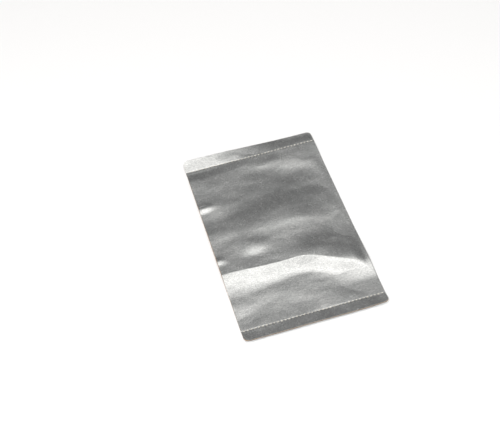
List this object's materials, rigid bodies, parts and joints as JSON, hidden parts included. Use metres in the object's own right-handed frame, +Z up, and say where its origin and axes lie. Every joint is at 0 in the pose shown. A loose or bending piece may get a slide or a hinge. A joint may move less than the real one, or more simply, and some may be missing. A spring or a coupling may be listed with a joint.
{
  "type": "lipo safe bag",
  "caption": "Flat foil-faced glass-cloth pouch for a lithium battery, folded along one long edge, sewn across both short ends and open along the other long edge.",
  "frame": {"origin": "middle of the footprint, on the surface that the pouch lies on", "axes": "+Z up, +X towards the folded long edge (the mouth is at -X), +Y towards the seam with the wider margin"},
  "size_m": [0.12, 0.2, 0.008],
  "materials": {
    "foil": "satin, lightly creased",
    "glass_cloth": "matt plain weave, heat-treated",
    "thread": "matt twisted thread"
  },
  "bodies": {
    "pouch": {"back_foil": "foil", "back_glass_cloth": "glass_cloth", "fold_foil": "foil", "fold_glass_cloth": "glass_cloth", "near_margin_foil": "foil", "near_margin_glass_cloth": "glass_cloth", "far_margin_foil": "foil", "far_margin_glass_cloth": "glass_cloth", "near_seam_needle_thread": "thread", "near_seam_bobbin_thread": "thread", "far_seam_needle_thread": "thread", "far_seam_bobbin_thread": "thread"},
    "front_wall": {"front_foil": "foil", "front_glass_cloth": "glass_cloth"}
  },
  "joints": [
    {"name": "mouth_open", "type": "hinge", "parent": "pouch", "child": "front_wall", "pos_m": [0.05925, 0, 0.00075], "axis": [0, 1, 0], "range_deg": [0, 12]}
  ]
}
